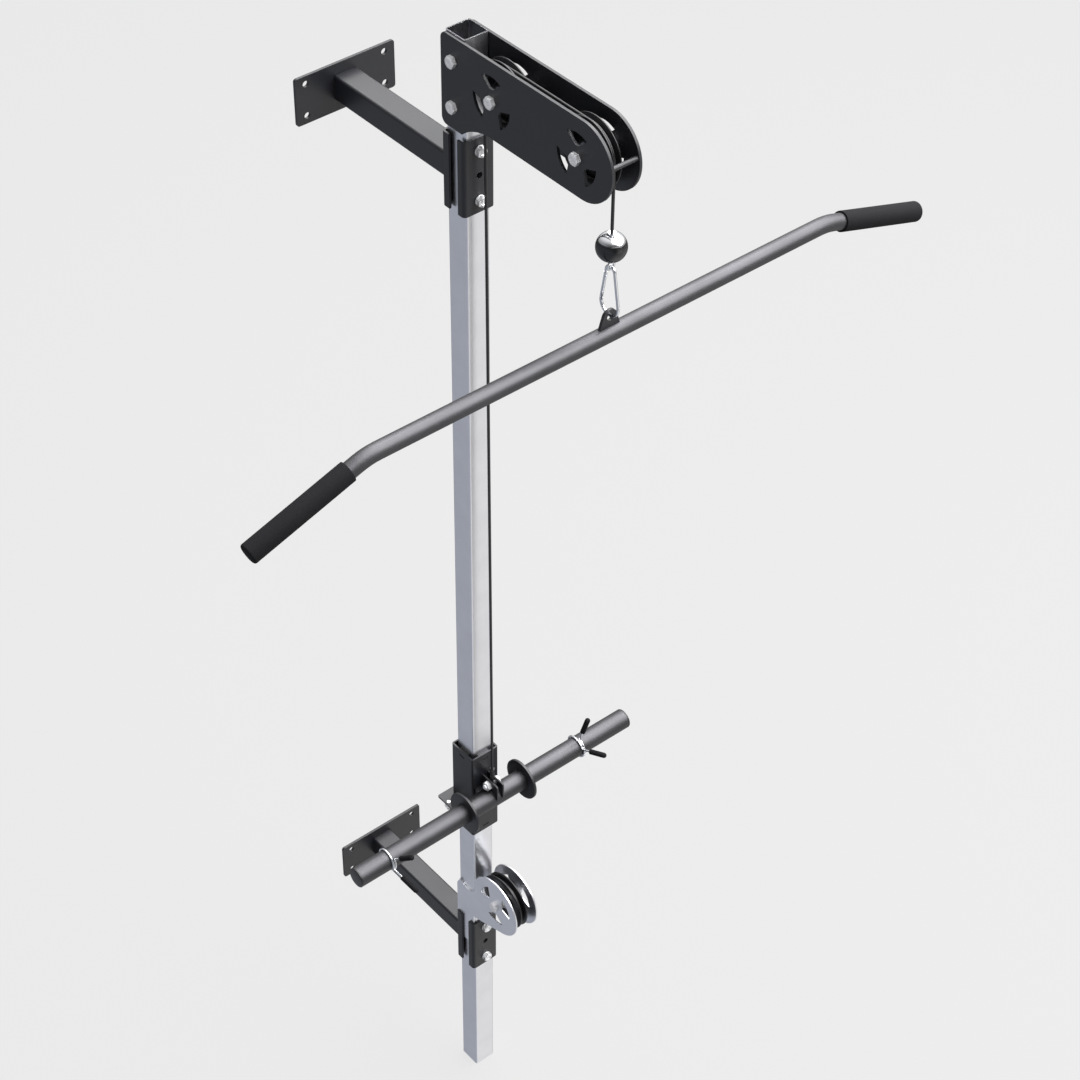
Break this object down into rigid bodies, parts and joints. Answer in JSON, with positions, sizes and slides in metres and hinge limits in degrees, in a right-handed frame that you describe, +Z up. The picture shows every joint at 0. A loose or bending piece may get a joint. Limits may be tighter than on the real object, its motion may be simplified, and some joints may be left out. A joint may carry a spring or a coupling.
{
  "type": "wall-mounted cable pulldown tower",
  "caption": "Wall-mounted square guide post with a pulley head, a low pulley, a plate-loaded sliding carriage and a cable that lifts it when the wide bar is pulled down.",
  "frame": {"origin": "centre of the upper wall plate's four-hole pattern, on the wall plane", "axes": "+Z up along the guide post, +Y into the wall, +X to the right of a person who faces the wall"},
  "size_m": [1.2884, 0.6593, 2.37],
  "materials": {
    "black_coat": "satin black powder coat on steel",
    "bright_plate": "bright zinc-nickel plate on steel tube and sheet",
    "fastener_zinc": "bright zinc plate on steel fasteners",
    "chrome": "polished chrome",
    "bar_grey": "satin gun-metal plate on steel bar",
    "bearing_steel": "ground steel",
    "pulley_black": "moulded glass-filled nylon",
    "black_plastic": "moulded plastic",
    "gloss_black": "polished hard rubber",
    "grip_rubber": "matt moulded rubber",
    "rubber": "moulded rubber",
    "cable_black": "smooth nylon coating on wire rope"
  },
  "bodies": {
    "tower": {"post_tube": "bright_plate", "upper_wall_plate": "black_coat", "lower_wall_plate": "black_coat", "upper_arm_tube": "black_coat", "lower_arm_tube": "black_coat", "upper_rear_channel": "black_coat", "lower_rear_channel": "black_coat", "upper_front_channel": "black_coat", "lower_front_channel": "black_coat", "clamp_bolts": "fastener_zinc", "clamp_washers": "fastener_zinc", "clamp_nuts": "fastener_zinc", "head_plate_left": "black_coat", "head_plate_right": "black_coat", "head_bolts": "fastener_zinc", "head_nuts": "fastener_zinc", "axle_bolts": "fastener_zinc", "axle_nuts": "fastener_zinc", "axle_spacers": "fastener_zinc", "cable_guard_rod": "black_coat", "low_plate_left": "bright_plate", "low_plate_right": "bright_plate", "stop_bumper": "rubber", "stop_bolt": "fastener_zinc", "cable_over_pulleys": "cable_black", "cable_rise": "cable_black", "cable_drop": "cable_black"},
    "carriage": {"carriage_sleeve": "black_coat", "glide_pads": "black_plastic", "carriage_apron": "black_coat", "apron_bolts": "fastener_zinc", "load_bar_tube": "bar_grey", "load_bar_caps": "black_plastic", "load_bar_flanges": "black_coat", "load_bar_saddle": "black_coat", "lug_plates": "black_coat", "lug_bolt": "fastener_zinc", "lug_nut": "fastener_zinc", "cable_eye": "cable_black", "cable_ferrule": "cable_black"},
    "head_wheel_rear": {"head_pulley_rear": "pulley_black", "head_bearing_rear": "bearing_steel"},
    "head_wheel_front": {"head_pulley_front": "pulley_black", "head_bearing_front": "bearing_steel"},
    "low_wheel": {"low_pulley_wheel": "pulley_black", "low_pulley_bearing": "bearing_steel"},
    "ball_stop": {"ball_base": "gloss_black", "ball_cap": "chrome", "ball_stem": "chrome"},
    "swivel_hook": {"swivel_eye": "chrome", "snap_hook": "chrome"},
    "hook_gate": {"snap_hook_gate": "chrome"},
    "pulldown_bar": {"pulldown_bar_rod": "bar_grey", "pulldown_bar_lug": "black_coat", "grip_left": "grip_rubber", "grip_right": "grip_rubber"},
    "collar_left": {"collar_left_wire": "chrome", "collar_left_grips": "grip_rubber"},
    "collar_right": {"collar_right_wire": "chrome", "collar_right_grips": "grip_rubber"}
  },
  "joints": [
    {"name": "carriage_lift", "type": "slide", "parent": "tower", "child": "carriage", "axis": [0, 0, 1], "range_m": [0, 1.15], "deforming": ["cable_rise"]},
    {"name": "head_rear_spin", "type": "hinge", "parent": "tower", "child": "head_wheel_rear", "pos_m": [0, -0.398, 0.1655], "axis": [1, 0, 0], "range_deg": [0, 1374]},
    {"name": "head_front_spin", "type": "hinge", "parent": "tower", "child": "head_wheel_front", "pos_m": [0, -0.584, 0.1655], "axis": [1, 0, 0], "range_deg": [0, 1374]},
    {"name": "low_spin", "type": "hinge", "parent": "tower", "child": "low_wheel", "pos_m": [0, -0.398, -1.583], "axis": [1, 0, 0], "continuous": true},
    {"name": "handle_pull", "type": "slide", "parent": "tower", "child": "ball_stop", "axis": [0, 0, -1], "range_m": [0, 1.15], "deforming": ["cable_drop"]},
    {"name": "handle_swivel", "type": "hinge", "parent": "ball_stop", "child": "swivel_hook", "pos_m": [0, -0.632, -0.00025], "axis": [0, 0, 1], "range_deg": [-25, 25]},
    {"name": "gate_open", "type": "hinge", "parent": "swivel_hook", "child": "hook_gate", "pos_m": [0, -0.62145, -0.01904], "axis": [-1, 0, 0], "range_deg": [0, 22], "stiffness_Nm_per_rad": 0.02, "springref_deg": -17.19},
    {"name": "bar_tilt", "type": "hinge", "parent": "swivel_hook", "child": "pulldown_bar", "pos_m": [0, -0.632, -0.0889], "axis": [0, 1, 0], "range_deg": [-15, 15]},
    {"name": "collar_left_slide", "type": "slide", "parent": "carriage", "child": "collar_left", "axis": [1, 0, 0], "range_m": [-0.04, 0.1]},
    {"name": "collar_right_slide", "type": "slide", "parent": "carriage", "child": "collar_right", "axis": [1, 0, 0], "range_m": [-0.1, 0.04]}
  ],
  "couplings": [
    {"joint": "head_rear_spin", "follows": "carriage_lift", "rad_per_m": 20.833},
    {"joint": "head_front_spin", "follows": "carriage_lift", "rad_per_m": 20.833},
    {"joint": "handle_pull", "follows": "carriage_lift", "ratio": 1}
  ]
}
